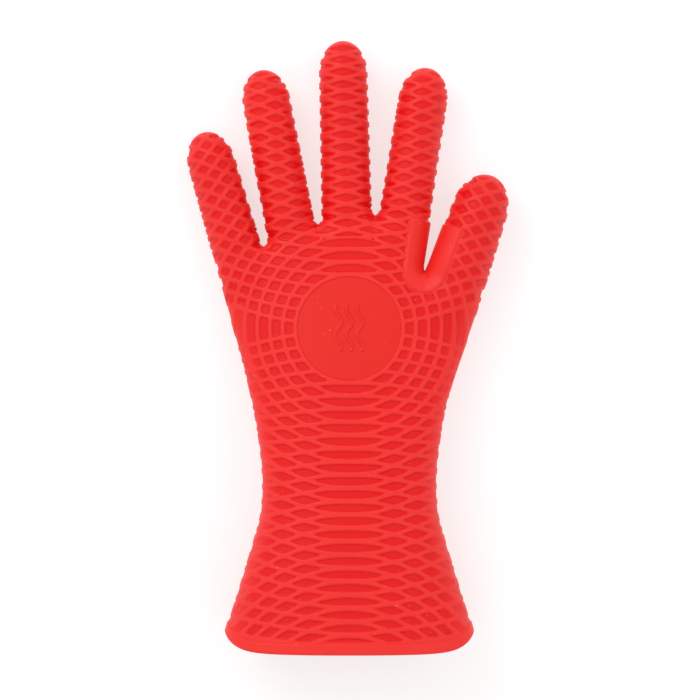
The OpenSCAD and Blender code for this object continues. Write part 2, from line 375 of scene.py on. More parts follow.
@dataclass
class Lattice:
    """The two families of ribs that cross all over the glove, and the pits between them.

    Both families are levels of a field over the plan: rib A lies where the row plus half the spread is a
    whole number, rib B where the row less half the spread is. The row counts ribs outwards from the disc, and
    the spread counts the columns of pits outwards from the middle plane.
    """

    form: Form
    fingers: Dict[Digit, Finger]
    disc_radius: float

    # The palm above the wrist.
    pitch: float = 6.2  # from ring to ring of family A
    rim: float = 1.1  # from the disc's edge to the first ring
    fan: float = 0.003  # how much family B's parabolas curve
    fan_low: float = -4.5  # the lowest row of family B above the disc
    # Rows and columns of the wrist and cuff.
    cuff_pitch: float = 6.25
    skew: float = 0.0000125  # how much rows bend, for each millimetre past the level one
    level_row: float = -9.0  # the level row's place, along Y from the waist
    waist: float = -86.0
    column: float = 10.5  # a column's width at the waist
    column_up: float = 2.2  # how much narrower it gets above the waist
    column_down: float = 0.8  # and how much wider below
    column_span: float = 56.0  # the distance over which both happen
    column_power: float = 2.5
    first: float = 22.4  # the middle of the first side column at the waist
    first_up: float = 4.6  # how much nearer it gets above the waist
    first_down: float = 2.6  # and below
    crowding: float = 0.0011  # how much columns crowd towards the hem's sides
    crowd_span: float = 25.0
    soft: float = 0.6  # how gently the middle column passes into the side ones
    low_start: float = -35.0  # the palm's fields give way to the cuff's from here
    low_end: float = -55.0  # to here
    # Ribs and pits.
    rib: float = 1.8
    edge: float = 0.6  # a rib's sloping side
    edge_lead: float = 0.25  # the share of the slope that lies on the rib
    rounding: float = 0.42  # of a pit's corners
    probe: float = 0.05  # the step that slopes are measured over
    least_slope: float = 0.05
    # The share of a stall's own fields.
    side_reach: float = 2.5  # past the stall's side, below its root
    side_fade: float = 5.0
    stall_reach: float = 4.0  # past its side, further up
    stall_fade: float = 6.0
    lowest: float = -14.0  # along the stall
    root_lead: float = 6.0  # where the outer stalls' fields start below the root
    root_span: float = 14.0
    # The middle finger.
    arch: float = 3.0  # the ring of family A that its fields start on
    arch_fade: float = 0.16
    arch_share: float = 0.5  # their share on that ring
    middle_reach: float = 16.5  # across
    middle_fade: float = 5.0
    middle_row: float = 4.0  # a row's number
    middle_row_at: float = 51.2  # and its place
    centre_start: float = 40.0  # where its columns start to move over to its axis
    centre_span: float = 20.0
    # The ring and index fingers.
    drift_at: float = 35.6  # the second column's distance from the middle plane at the top
    drift: float = 0.0015  # how much nearer it gets, with the square of the distance below drift_end
    drift_end: float = 98.0
    side_column: float = 2.0  # that column's number
    side_row: float = 2.5  # a row's number
    side_row_at: float = 38.0  # and its place
    broad: float = 2.0  # how much wider columns get towards the root
    tilt: float = 0.2  # how much rows tilt there
    broad_end: float = 75.0
    broad_span: float = 32.0
    side_start: float = 44.0  # where these fields start
    side_span: float = 12.0
    # Where the lattice fades out.
    disc_fade: float = 0.8
    hem_reach: float = 5.2
    hem_fade: float = 1.2
    rim_kept: float = 0.45  # the share of depth kept at the glove's sides
    rim_start: float = 0.8  # the share of the half width where that starts
    rim_span: float = 0.14
    rim_top: float = 12.0
    smooth_tip: float = 2.6
    tip_round: float = 0.25
    tip_fade: float = 1.6
    beside: float = 3.0  # how far past a stall's side its tip and flanks count
    flank_loss: float = 0.2  # the share of depth lost on a stall's flanks
    flank_start: float = 0.8  # the share of the radius where that starts
    flank_span: float = 0.2
    flank_root: float = 4.0

    def palm_fields(self, x: Array, y: Array) -> Tuple[Array, Array]:
        """The row and spread over the palm and cuff.

        Round the disc, family A is circles and family B a fan of shallow parabolas. Below it, rows are level
        lines that bend as a parabola whose strength grows away from the waist. The spread there is nearly
        nothing within the middle column and grows evenly from the first side column on, or faster towards the
        hem's sides.

        Args:
            x: places across.
            y: places along.

        Returns:
            The row and the spread at each place.
        """
        side = np.abs(x)
        rim = self.disc_radius + self.rim
        circles = (np.hypot(x, y) - rim) / self.pitch
        fan = np.maximum((np.abs(y) - rim - self.fan * x * x) / self.pitch, self.fan_low)
        row_up, spread_up = (circles + fan) / 2.0, circles - fan
        up = np.clip((y - self.waist) / self.column_span, 0.0, 1.0) ** self.column_power
        down = np.clip((self.waist - y) / self.column_span, 0.0, 1.0) ** self.column_power
        past = side - (self.first - self.first_up * up - self.first_down * down)
        below = np.clip((self.waist - y) / self.crowd_span, 0.0, 1.0)
        crowd = self.crowding * below * np.maximum(0.0, past) ** 2
        share = 1.0 + past / (self.column - self.column_up * up + self.column_down * down) + crowd
        spread_low = (np.sqrt(share * share + self.soft * self.soft) + share) / 2.0
        row_low = (-y - rim) / self.cuff_pitch + self.skew * (y - self.waist - self.level_row) * x * x
        low = smooth((self.low_start - y) / (self.low_start - self.low_end))
        return mix(row_up, row_low, low), mix(spread_up, spread_low, low)

    def stall_fields(self, finger: Finger, x: Array, y: Array) -> Tuple[Array, Array, Array]:
        """The row and spread on a stall, and the share by which they replace the palm's.

        The little finger's and the thumb's fields are planes that carry the palm's fields on along the stall.
        The ring and index fingers' columns stand upright and drift inwards towards the root. The middle
        finger's are centred on it.

        Args:
            finger: the stall.
            x: places across.
            y: places along.

        Returns:
            The stall's row and spread, and the share at each place.
        """
        s, u = finger.local(x, y)
        soft = smooth((finger.radius + self.side_reach - np.abs(u)) / self.side_fade)
        near = mix(soft, np.abs(u) < finger.radius + self.stall_reach, smooth(s / self.stall_fade))
        near = near * (s > self.lowest)
        weave = WEAVES[finger.digit]
        side = np.abs(x)
        if finger.digit is Digit.MIDDLE:
            centred = smooth((y - self.centre_start) / self.centre_span)
            axis = finger.root[0] * centred + (s > 0) * s * finger.along[0]
            own_spread = np.abs(x - axis) / weave.column - 1.0
            own_row = (y - self.middle_row_at) / weave.pitch + self.middle_row
            arch = (np.hypot(x, y) - (self.disc_radius + self.rim)) / self.pitch - self.arch
            share = smooth(arch / self.arch_fade + self.arch_share)
            share = share * smooth((self.middle_reach - side) / self.middle_fade) * (y > 0)
            return own_row, own_spread, share * near
        if finger.digit in (Digit.RING, Digit.INDEX):
            off = side - (self.drift_at - self.drift * np.maximum(0.0, self.drift_end - y) ** 2)
            broad = smooth((self.broad_end - y) / self.broad_span)
            own_spread = self.side_column + off / (weave.column + self.broad * broad)
            own_row = self.side_row + (y - self.side_row_at) / weave.pitch
            own_row = own_row + self.tilt * broad * off / weave.pitch
            return own_row, own_spread, smooth((y - self.side_start) / self.side_span) * near
        root_row, root_spread = self.palm_fields(finger.root[:1], finger.root[1:])
        own_row = root_row[0] + s / weave.pitch
        own_spread = root_spread[0] + u * np.sign(finger.root[0]) / weave.column
        return own_row, own_spread, smooth((s + self.root_lead) / self.root_span) * near

    def fields(self, x: Array, y: Array) -> Tuple[Array, Array]:
        """The row and spread everywhere: the palm's, with each stall's mixed in over its root."""
        row, spread = self.palm_fields(x, y)
        for finger in self.fingers.values():
            own_row, own_spread, share = self.stall_fields(finger, x, y)
            row, spread = mix(row, own_row, share), mix(spread, own_spread, share)
        return row, spread

    def rib_gap(self, level: Array, step_x: Array, step_y: Array) -> Array:
        """The distance to the nearest whole level: its share of a pitch, over the field's slope."""
        slope = np.maximum(np.hypot(step_x, step_y), self.least_slope)
        return np.abs(level - np.round(level)) / slope

    def pit(self, x: Array, y: Array) -> Array:
        """How deep the lattice is pressed, from 0 on a rib to 1 in a pit.

        The nearer of the two families' ribs gives the distance, with a soft minimum that rounds the corners.

        Args:
            x: places across.
            y: places along.

        Returns:
            The share of the full depth at each place.
        """
        row, spread = self.fields(x, y)
        row_x, spread_x = self.fields(x + self.probe, y)
        row_y, spread_y = self.fields(x, y + self.probe)
        gaps = []
        for sign in (0.5, -0.5):
            level = row + sign * spread
            gaps.append(self.rib_gap(level, (row_x + sign * spread_x - level) / self.probe,
                                     (row_y + sign * spread_y - level) / self.probe))
        near, far = np.minimum(*gaps), np.maximum(*gaps)
        blend = np.maximum(0.0, 1.0 - (far - near) / (2.0 * self.rounding))
        gap = near - self.rounding * blend * blend / 2.0
        return smooth((gap - self.rib / 2.0) / self.edge + self.edge_lead) * self.kept(x, y)

    def kept(self, x: Array, y: Array) -> Array:
        """The share of the depth that is kept: none on the disc, hem and tips, and less at the sides."""
        form = self.form
        radial = smooth((np.hypot(x, y) - self.disc_radius - self.rim) / self.disc_fade)
        hem = smooth((y + form.bowed(x, y) - form.hem - self.hem_reach) / self.hem_fade)
        side = np.abs(x) / form.side(y, x > 0)
        rim = mix(1.0, self.rim_kept, smooth((side - self.rim_start) / self.rim_span) * (y < self.rim_top))
        kept = radial * hem * rim
        for finger in self.fingers.values():
            s, u = finger.local(x, y)
            on_stall = np.abs(u) < finger.radius + self.beside
            past = s - finger.length + self.smooth_tip + self.tip_round * np.abs(u)
            kept = kept * (1.0 - smooth(past / self.tip_fade) * on_stall)
            flank = smooth((np.abs(u) / finger.radius - self.flank_start) / self.flank_span)
            kept = kept * (1.0 - self.flank_loss * (flank * (s > self.flank_root) * on_stall))
        return kept


@dataclass
class Net:
    """The coarse net of the whole glove, which subdivision smooths into its skin.

    Attributes:
        form: the palm and cuff.
        fingers: the stalls, in order across the palm.
        points: the net's corners, in millimetres.
        faces: four corners a face, as rows of numbers; a face at a tip repeats one.
        regions: which piece each face belongs to.
    """

    form: Form
    fingers: List[Finger]
    points: Optional[Array] = None
    faces: Optional[Array] = None
    regions: Optional[Array] = None
    columns: int = 8  # faces across a strip or a stall, on each side
    step: float = 3.2  # the usual distance between rows
    crotch_fall: float = 1.2  # how evenly rows crowd towards a crotch
    crotch_depth: float = 7.5  # how far below a crotch its valley reaches
    thumb_drop: float = 1.0  # how much the thumb's crotch is lowered
    finger_lift: float = 0.5  # and the others raised
    stall_shrink: float = 1.026  # makes up for what smoothing takes off a stall
    blend_rows: int = 13  # rows over which the palm's section becomes the stalls'
    wrist_rows: int = 10
    tip_rows: int = 8
    web_reach: float = 19.0  # how far from a crotch its web is rounded
    web_above: float = 0.5  # and how far above it
    web_fade: float = 9.0
    web_passes: int = 12
    web_pull: float = 0.7  # the share of the way that a pass moves a height
    merge_steps: float = 200.0  # corners in the same part of a millimetre are one

    def crotches(self) -> List[Array]:
        """The plan points where neighbouring stalls part, midway between their sides near the higher root."""
        found = []
        for left, right in zip(self.fingers[:-1], self.fingers[1:]):
            lower, upper, sign, shift = left, right, 1.0, self.finger_lift
            if right.digit is Digit.THUMB:
                lower, upper, sign, shift = right, left, -1.0, -self.thumb_drop
            edge = lower.place(np.array(0.0), np.array(sign * lower.radius))
            s, _ = upper.local(edge[0], edge[1])
            facing = upper.place(np.array(s), np.array(-sign * upper.radius))
            found.append((edge + facing) / 2.0 + [0.0, shift])
        return found

    def edge_lines(self) -> Tuple[List[Array], List[int], List[int]]:
        """The lines that part the palm into five strips, from the wrist's bend up.

        Returns:
            The six lines as plan points, the row of each crotch, and the row where each strip's stall starts.
            Rows crowd together towards a crotch: their distance from it is n squared over n plus a constant.
        """
        start = self.form.palm_start
        crotches = self.crotches()
        crotch_rows = [int(round((point[1] - start) / self.step)) for point in crotches]
        root_rows = []
        for number, finger in enumerate(self.fingers):
            beside = crotch_rows[max(0, number - 1):number + 1]
            root_rows.append(max(beside) + 1)
        lines = []
        count = len(self.fingers)
        shares = -np.cos(np.pi * np.arange(count + 1) / count)
        for number in range(count + 1):
            if number in (0, count):
                at, sign = (0, -1) if number == 0 else (-1, 1)
                finger = self.fingers[at]
                end = finger.place(np.array(finger.root_start), np.array(finger.radius * sign))
                y = np.linspace(start, end[1], root_rows[at] + 1)
                x = self.form.side(y, sign > 0) * sign
                x = x + (end[0] - x[-1]) * smooth((y - start) / (end[1] - start))
            else:
                point, rows = crotches[number - 1], crotch_rows[number - 1]
                n = np.arange(rows, -1, -1, dtype=float)
                fall = n * n / (n + self.crotch_fall)
                y = point[1] - fall * (point[1] - start) / fall[0]
                x = mix(shares[number] * self.form.half_width(y), point[0],
                        smooth((y - start) / (point[1] - start)))
            lines.append(np.stack([x, y], axis=1))
        return lines, crotch_rows, root_rows

    def strip_side(self, line: Array, crotch_row: int, root_row: int, finger: Finger, sign: float) -> Array:
        """A strip's edge: the parting line up to the crotch, then the stall's own side up to its root."""
        if crotch_row < 0:
            return line
        s, _ = finger.local(*line[-1])
        count = root_row - crotch_row
        steps = finger.root_start - np.arange(count - 1, -1, -1) * (finger.root_start - s) / count
        offset = np.full(count, sign * finger.radius * self.stall_shrink)
        return np.concatenate([line, finger.place(steps, offset)])

    def palm_strip(self, number: int, lines: List[Array], crotch_rows: List[int],
                   root_rows: List[int]) -> Array:
        """One strip of the palm, from the wrist's bend to its stall.

        Across a strip, points follow the wrist's spacing low down and a half circle's near the stall. The
        square of the half depth is mixed between the two edges, plus a parabola that reaches the centre's.

        Args:
            number: which strip.
            lines: the six parting lines.
            crotch_rows: the row of each crotch.
            root_rows: the row where each stall starts.

        Returns:
            The top and the bottom sheet's points, by row and column.
        """
        form, finger = self.form, self.fingers[number]
        rows = root_rows[number]
        crotch = [-1] + crotch_rows + [-1]
        left = self.strip_side(lines[number], crotch[number], rows, finger, -1.0)[:rows + 1]
        right = self.strip_side(lines[number + 1], crotch[number + 1], rows, finger, 1.0)[:rows + 1]
        level = np.arange(rows + 1, dtype=float)[:, None]
        part = np.linspace(0.0, 1.0, self.columns + 1)[None, :]
        goal = [crotch_rows[0]] + crotch_rows + [crotch_rows[-1]]
        ready = [smooth((level - goal[side] + self.blend_rows) / (self.blend_rows - 1.0))
                 for side in (number, number + 1)]
        wide = -np.cos(np.pi * (number + part) / len(self.fingers))
        wrist = (wide - wide[:, :1]) / (wide[:, -1:] - wide[:, :1])
        blend = (ready[0] + ready[1]) / 2.0
        share = mix(wrist, (1.0 - np.cos(np.pi * part)) / 2.0, blend)
        x = mix(left[:, :1], right[:, :1], share)
        y = mix(left[:, 1:], right[:, 1:], share)
        depth, middle = [], []
        for side, edge in ((0, left), (1, right)):
            row = crotch[number + side]
            crown, own = np.zeros_like(level), finger.height
            near = crown
            if number + side not in (0, len(self.fingers)):
                crown = form.crown(edge[:, 0], edge[:, 1])[:, None]
                fall = np.clip((edge[min(row, rows), 1] - edge[:, 1:]) / self.crotch_depth, 0.0, 1.0)
                near = crown * np.sqrt(1.0 - (1.0 - np.where(level > row, 0.0, fall)) ** 2)
                neighbour = self.fingers[number + (1 if side else -1)]
                settled = smooth((level - row) / max(1.0, rows - row))
                own = mix((finger.height + neighbour.height) / 2.0, finger.height, settled)
            depth.append(mix(crown, near, ready[side]))
            middle.append(mix(form.mid(edge[:, 1])[:, None], own, ready[side]))
        ready_here = mix(ready[0], ready[1], share)
        core = slice(self.columns // 2, self.columns // 2 + 1)
        centre = mix(form.crown(x[:, core], y[:, core]), finger.radius * self.stall_shrink, blend)
        square = mix(depth[0] ** 2, depth[1] ** 2, share)
        square = square + 4.0 * share * (1.0 - share) * (centre ** 2 - (depth[0] ** 2 + depth[1] ** 2) / 2.0)
        half = mix(form.crown(x, y), np.sqrt(np.maximum(square, 0.0)), ready_here)
        own_mid = mix(form.mid(y), finger.height, ready_here)
        z = middle[0] * (1 - share) ** 2 + middle[1] * share ** 2 + 2 * share * (1 - share) * own_mid
        for column, edge_depth in ((0, depth[0]), (-1, depth[1])):
            half[:, column] = np.where(np.abs(edge_depth[:, 0]) < TINY, 0.0, half[:, column])
        return np.stack([np.stack([x, y, z + half], -1), np.stack([x, y, z - half], -1)])

    def stall(self, finger: Finger) -> Tuple[Array, int]:
        """A stall's sheets from its root bend to its tip.

        Across it points lie on a circle of the stall's outer radius, and along it they keep an even step with
        one row at the start of the middle bend; at the tip they close in evenly by angle round an ellipse.

        Args:
            finger: the stall.

        Returns:
            The top and bottom sheets by row and column, and the row where the middle bend starts.
        """
        low = np.linspace(finger.root_start, finger.bend[0],
                          int(round((finger.bend[0] - finger.root_start) / self.step)) + 1)
        straight = finger.length - finger.cap
        count = max(1, int(round((straight - finger.bend[0]) / self.step)))
        high = np.linspace(finger.bend[0], straight, count + 1)[1:]
        turn = np.linspace(0.0, np.pi / 2.0, self.tip_rows + 1)[1:]
        s = np.concatenate([low, high, straight + finger.cap * np.sin(turn)])
        radius = np.concatenate([finger.outer(np.concatenate([low, high])), finger.tip_radius * np.cos(turn)])
        radius = radius * self.stall_shrink
        angle = np.pi * np.linspace(0.0, 1.0, self.columns + 1)
        u = -np.multiply.outer(radius, np.cos(angle))
        plan = finger.root + s[:, None, None] * finger.along + u[..., None] * finger.across
        rise = np.multiply.outer(radius, np.sin(angle))
        rise[:, [0, -1]] = 0.0
        sheets = [np.concatenate([plan, (finger.height + sign * rise)[..., None]], -1)
                  for sign in (1.0, -1.0)]
        return np.stack(sheets), len(low) - 1

    def cuff(self) -> Tuple[Array, int]:
        """The cuff's and the wrist's sheets from the open end up, and the row where the wrist's bend starts.

        Rows are sections across the form. The last row is the palm's first.
        """
        form = self.form
        low = np.linspace(form.hem, form.cuff_end, int(round((form.cuff_end - form.hem) / self.step)) + 1)
        high = np.linspace(form.cuff_end, form.palm_start, self.wrist_rows + 1)
        y = np.concatenate([low, high[1:]])[:, None]
        across = -np.cos(np.pi * np.linspace(0.0, 1.0, len(self.fingers) * self.columns + 1))[None, :]
        x = across * form.half_width(y)
        half = form.crown(x, np.broadcast_to(y, x.shape))
        half[:, [0, -1]] = 0.0
        line = y - form.bowed(x, np.broadcast_to(y, x.shape))
        sheets = [np.stack([x, line, form.mid(y) + sign * half], -1) for sign in (1.0, -1.0)]
        return np.stack(sheets), len(low) - 1

    def build(self) -> "Net":
        """Joins every sheet into one net, merging corners that coincide."""
        points: List[Array] = []
        faces: List[Array] = []
        regions: List[Array] = []

        def add(sheet: Array, top: bool, region_rows: List[Tuple[int, int]]) -> None:
            """Adds a sheet's corners and faces; a pair of region_rows is a row and the region from it on."""
            rows, columns = sheet.shape[0], sheet.shape[1]
            base = sum(len(block) for block in points)
            number = base + np.arange(rows * columns).reshape(rows, columns)
            quad = np.stack([number[:-1, :-1], number[:-1, 1:], number[1:, 1:], number[1:, :-1]], -1)
            region = np.zeros(quad.shape[:2], int)
            for row, value in region_rows:
                region[row:] = value
            points.append(sheet.reshape(-1, 3))
            faces.append((quad if top else quad[..., ::-1]).reshape(-1, 4))
            regions.append(region.reshape(-1))

        cuff_sheets, wrist_row = self.cuff()
        for side, cuff_region in ((0, Region.CUFF_FRONT), (1, Region.CUFF_BACK)):
            add(cuff_sheets[side], side == 0, [(0, cuff_region), (wrist_row, Region.WRIST)])
        lines, crotch_rows, root_rows = self.edge_lines()
        for number, finger in enumerate(self.fingers):
            palm = self.palm_strip(number, lines, crotch_rows, root_rows)
            stall, bend_row = self.stall(finger)
            stall[:, 0] = palm[:, -1]
            region = Region.FIRST_STALL + 2 * number
            for side, palm_region in ((0, Region.PALM_FRONT), (1, Region.PALM_BACK)):
                add(palm[side], side == 0, [(0, palm_region)])
                add(stall[side], side == 0, [(0, region), (bend_row, region + 1)])
        all_points = np.concatenate(points)
        keys = np.round(all_points * self.merge_steps).astype(np.int64)
        _, first, inverse = np.unique(keys, axis=0, return_index=True, return_inverse=True)
        self.points = all_points[first]
        self.faces = inverse.reshape(-1)[np.concatenate(faces)]
        self.regions = np.concatenate(regions)
        self.soften()
        return self

    def soften(self) -> None:
        """Rounds the valleys below the crotches into webs.

        Each pass moves a corner's height towards the mean of its faces' corners, by a share that fades out
        with the distance from the nearest crotch and is nothing above it.
        """
        weight = np.zeros(len(self.points))
        for point in self.crotches():
            away = np.hypot(*(self.points[:, :2] - point).T)
            below = self.points[:, 1] < point[1] + self.web_above
            weight = np.maximum(weight, smooth((self.web_reach - away) / self.web_fade) * below)
        flat = self.faces.reshape(-1)
        count = np.bincount(flat, minlength=len(self.points))
        for _ in range(self.web_passes):
            mean = np.repeat(self.points[self.faces, 2].mean(axis=1), 4)
            goal = np.bincount(flat, mean, len(self.points)) / count
            self.points[:, 2] = mix(self.points[:, 2], goal, self.web_pull * weight)


def quad_normals(points: Array, faces: Array) -> Array:
    """Unit normals at the points: the sum of their faces' normals, the cross products of the diagonals."""
    corners = points[faces]
    face = np.cross(corners[:, 2] - corners[:, 0], corners[:, 3] - corners[:, 1])
    flat = faces.reshape(-1)
    total = np.stack([np.bincount(flat, np.repeat(face[:, k], 4), len(points)) for k in range(3)], 1)
    return total / np.maximum(np.linalg.norm(total, axis=1, keepdims=True), LEAST)


def smoothed(net: Net, level: int) -> Tuple[Array, Array, Array]:
    """Subdivides the net by the Catmull-Clark rule and puts its corners on the limit surface.

    Args:
        net: the coarse net, already built.
        level: how many times each face is cut in four.

    Returns:
        The points in millimetres, the faces and their regions.
    """
    pinched = (net.faces == np.roll(net.faces, -1, axis=1)).any(axis=1)
    corners = net.faces[pinched]
    keep = corners != np.roll(corners, -1, axis=1)
    faces = net.faces[~pinched].tolist() + corners[keep].reshape(-1, 3).tolist()
    mesh = bpy.data.meshes.new("net")
    mesh.from_pydata(net.points.tolist(), [], faces)
    order = np.concatenate([net.regions[~pinched], net.regions[pinched]]).astype(np.int32)
    mesh.attributes.new("region", "INT", "FACE").data.foreach_set("value", order)
    holder = bpy.data.objects.new("net", mesh)
    bpy.context.collection.objects.link(holder)
    modifier = holder.modifiers.new("smooth", "SUBSURF")
    modifier.levels = modifier.render_levels = level
    modifier.use_limit_surface = True
    result = holder.evaluated_get(bpy.context.evaluated_depsgraph_get()).to_mesh()
    points = np.empty(len(result.vertices) * 3)
    result.vertices.foreach_get("co", points)
    loops = np.empty(len(result.loops), np.int32)
    result.loops.foreach_get("vertex_index", loops)
    regions = np.empty(len(result.polygons), np.int32)
    result.attributes["region"].data.foreach_get("value", regions)
    bpy.data.objects.remove(holder)
    bpy.data.meshes.remove(mesh)
    return points.reshape(-1, 3), loops.reshape(-1, 4), regions


def rim_edges(faces: Array, count: int) -> Array:
    """The open edges of a set of faces, as pairs of points in the faces' own direction."""
    pairs = np.stack([faces, np.roll(faces, -1, axis=1)], -1).reshape(-1, 2).astype(np.int64)
    forward, backward = pairs[:, 0] * count + pairs[:, 1], pairs[:, 1] * count + pairs[:, 0]
    return pairs[~np.isin(forward, backward)]


@dataclass
class Shell:
    """A closed surface ready to become a piece.

    Attributes:
        points: the corners, in millimetres.
        polygons: arrays of faces, one array for each number of corners.
        normals: the shading normal at each corner; a zero leaves it to the mesh.
        relief: how far each corner is pressed in, from 0 to 1; the material paints shade into the pits by it.
    """

    points: Array
    polygons: List[Array]
    normals: Array
    relief: Array

    def piece(self, name: str) -> bpy.types.Object:
        """Makes the mesh object, at the origin, in metres.

        Args:
            name: the piece's name.

        Returns:
            The linked object.
        """
        mesh = bpy.data.meshes.new(name)
        mesh.vertices.add(len(self.points))
        mesh.vertices.foreach_set("co", (self.points * MM).ravel())
        loops = np.concatenate([faces.ravel() for faces in self.polygons]).astype(np.int32)
        sizes = np.concatenate([np.full(len(faces), faces.shape[1]) for faces in self.polygons])
        mesh.loops.add(len(loops))
        mesh.loops.foreach_set("vertex_index", loops)
        mesh.polygons.add(len(sizes))
        mesh.polygons.foreach_set("loop_start", (np.cumsum(sizes) - sizes).astype(np.int32))
        mesh.polygons.foreach_set("use_smooth", np.ones(len(sizes), bool))
        mesh.update(calc_edges=True)
        relief = mesh.attributes.new("relief", "FLOAT", "POINT")
        relief.data.foreach_set("value", self.relief.astype(np.float32))
        mesh.normals_split_custom_set_from_vertices(self.normals.tolist())
        obj = bpy.data.objects.new(name, mesh)
        bpy.context.collection.objects.link(obj)
        return obj


@dataclass
class Skin:
    """The glove's outer and inner surface, from which every moulded piece is cut.

    Attributes:
        net: the coarse net.
        lattice: the ribs.
        guard: the raised web guard's field over the plan, from 0 outside to 1 on it.
        disc_radius: the palm disc's radius.
        wall: the moulding's thickness.
    """

    net: Net
    lattice: Lattice
    guard: "WebGuard"
    disc_radius: float
    wall: float
    fine: int = 3  # how often the outer surface's faces are cut in four
    coarse: int = 1  # and the inner surface's
    depth: float = 0.8  # of a pit
    disc_sink: float = 1.9  # how deep the disc's bed lies
    guard_sink: float = 0.6  # how deep the skin lies under the web guard
    bed_margin: float = 0.2  # how far the bed reaches past the disc
    bed_fade: float = 0.8
    facing: float = 0.5  # the least upward part of a normal in the bed
    least_rise: float = 0.000001  # a layer covers what it stands above by more than this

    def __post_init__(self) -> None:
        """Smooths the net, presses the lattice into it and works out the shading normals."""
        self.base, self.faces, self.regions = smoothed(self.net, self.fine)
        self.inner_base, self.inner_faces, self.inner_regions = smoothed(self.net, self.coarse)
        self.base_normals = quad_normals(self.base, self.faces)
        x, y, up = self.base[:, 0], self.base[:, 1], self.base_normals[:, 2]
        self.relief = self.lattice.pit(x, y)
        bed = smooth((self.disc_radius + self.bed_margin - np.hypot(x, y)) / self.bed_fade)
        bed = self.disc_sink * bed * (up > self.facing)
        under = self.guard_sink * self.guard.share(x, y)
        self.relief = self.relief * (1.0 - self.guard.share(x, y)) * (bed == 0.0)
        self.points = self.base - (self.depth * self.relief + bed + under)[:, None] * self.base_normals
        self.points[:, 2] = np.maximum(self.points[:, 2], 0.0)
        self.normals = quad_normals(self.points, self.faces)
        inner_normals = quad_normals(self.inner_base, self.inner_faces)
        self.inner_points = self.inner_base - self.wall * inner_normals

    def section(self, regions: Tuple[int, ...]) -> Shell:
        """Cuts out a piece: its outer wall, its inner wall and the rims between them.

        A rim face joins one edge of the inner wall to the four finer edges of the outer wall beside it.

        Args:
            regions: which regions the piece covers.

        Returns:
            The closed shell.
        """
        faces = self.faces[np.isin(self.regions, regions)]
        inner = self.inner_faces[np.isin(self.inner_regions, regions)]
        edges = rim_edges(faces, len(self.points))
        follow = np.full(len(self.points), -1)
        follow[edges[:, 0]] = edges[:, 1]
        inner_edges = rim_edges(inner, len(self.inner_points))
        starts = edges[:, 0]
        away = np.linalg.norm(self.inner_base[inner_edges[:, 0], None] - self.base[None, starts], axis=2)
        chain = [starts[np.argmin(away, axis=1)]]
        for _ in range(2 ** (self.fine - self.coarse)):
            chain.append(follow[chain[-1]])
        used, numbers = np.unique(faces, return_inverse=True)
        inner_used, inner_numbers = np.unique(inner, return_inverse=True)
        outer_at = np.full(len(self.points), -1)
        outer_at[used] = np.arange(len(used))
        inner_at = np.full(len(self.inner_points), -1)
        inner_at[inner_used] = len(used) + np.arange(len(inner_used))
        rim = np.stack([outer_at[step] for step in chain[::-1]]
                       + [inner_at[inner_edges[:, 0]], inner_at[inner_edges[:, 1]]], 1)
        return Shell(
            np.concatenate([self.points[used], self.inner_points[inner_used]]),
            [numbers.reshape(faces.shape), (len(used) + inner_numbers.reshape(inner.shape))[:, ::-1], rim],
            np.concatenate([self.normals[used], np.zeros((len(inner_used), 3))]),
            np.concatenate([self.relief[used], np.zeros(len(inner_used))]))

    def patch(self, regions: Tuple[int, ...], field: Callable[[Array, Array], Array],
              back: float) -> Shell:
        """Makes a thin closed layer that lies on the skin.

        Args:
            regions: which regions it may cover.
            field: its height above the smooth surface over the plan; it covers only where this is above its
                lowest.
            back: the depth of its hidden side below the smooth surface.

        Returns:
            The closed shell, with the same fine faces on both sides.
        """
        faces = self.faces[np.isin(self.regions, regions)]
        height = field(self.base[:, 0], self.base[:, 1])
        faces = faces[(height[faces] > height.min() + self.least_rise).any(axis=1)]
        used, numbers = np.unique(faces, return_inverse=True)
        numbers = numbers.reshape(faces.shape)
        top = self.base[used] + height[used, None] * self.base_normals[used]
        top[:, 2] = np.maximum(top[:, 2], 0.0)
        under = self.base[used] - back * self.base_normals[used]
        edges = rim_edges(numbers, len(used))
        sides = np.stack([edges[:, 1], edges[:, 0], edges[:, 0] + len(used), edges[:, 1] + len(used)], 1)
        return Shell(
            np.concatenate([top, under]), [numbers, numbers[:, ::-1] + len(used), sides],
            np.concatenate([quad_normals(top, numbers), np.zeros_like(under)]), np.zeros(2 * len(used)))

    def open_end(self) -> Tuple[Array, Array, Array]:
        """The cuff's open edge in order: its points, its outward normals and the direction back up the cuff.

        The edge runs once round its own middle, so its points are put in order by their angle there.

        Returns:
            Three arrays. The last is the cross product of the normal and the edge's own direction.
        """
        edges = rim_edges(self.faces, len(self.base))
        starts, ends = edges[:, 0], edges[:, 1]
        (x, z), (next_x, next_z) = (
            (self.base[index] - self.base[starts].mean(axis=0)).T[[0, 2]] for index in (starts, ends))
        way = np.sign(np.sum(x * next_z - z * next_x))
        ring = starts[np.argsort(way * np.arctan2(z, x))]
        ring = np.roll(ring, -int(np.argmax(ring == starts[0])))
        points = self.base[ring]
        direction = np.roll(points, -1, axis=0) - np.roll(points, 1, axis=0)
        normals = self.base_normals[ring]
        normals = normals - direction * (np.sum(normals * direction, 1) / np.sum(direction ** 2, 1))[:, None]
        normals /= np.linalg.norm(normals, axis=1, keepdims=True)
        inward = np.cross(normals, direction)
        return points, normals, inward / np.linalg.norm(inward, axis=1, keepdims=True)


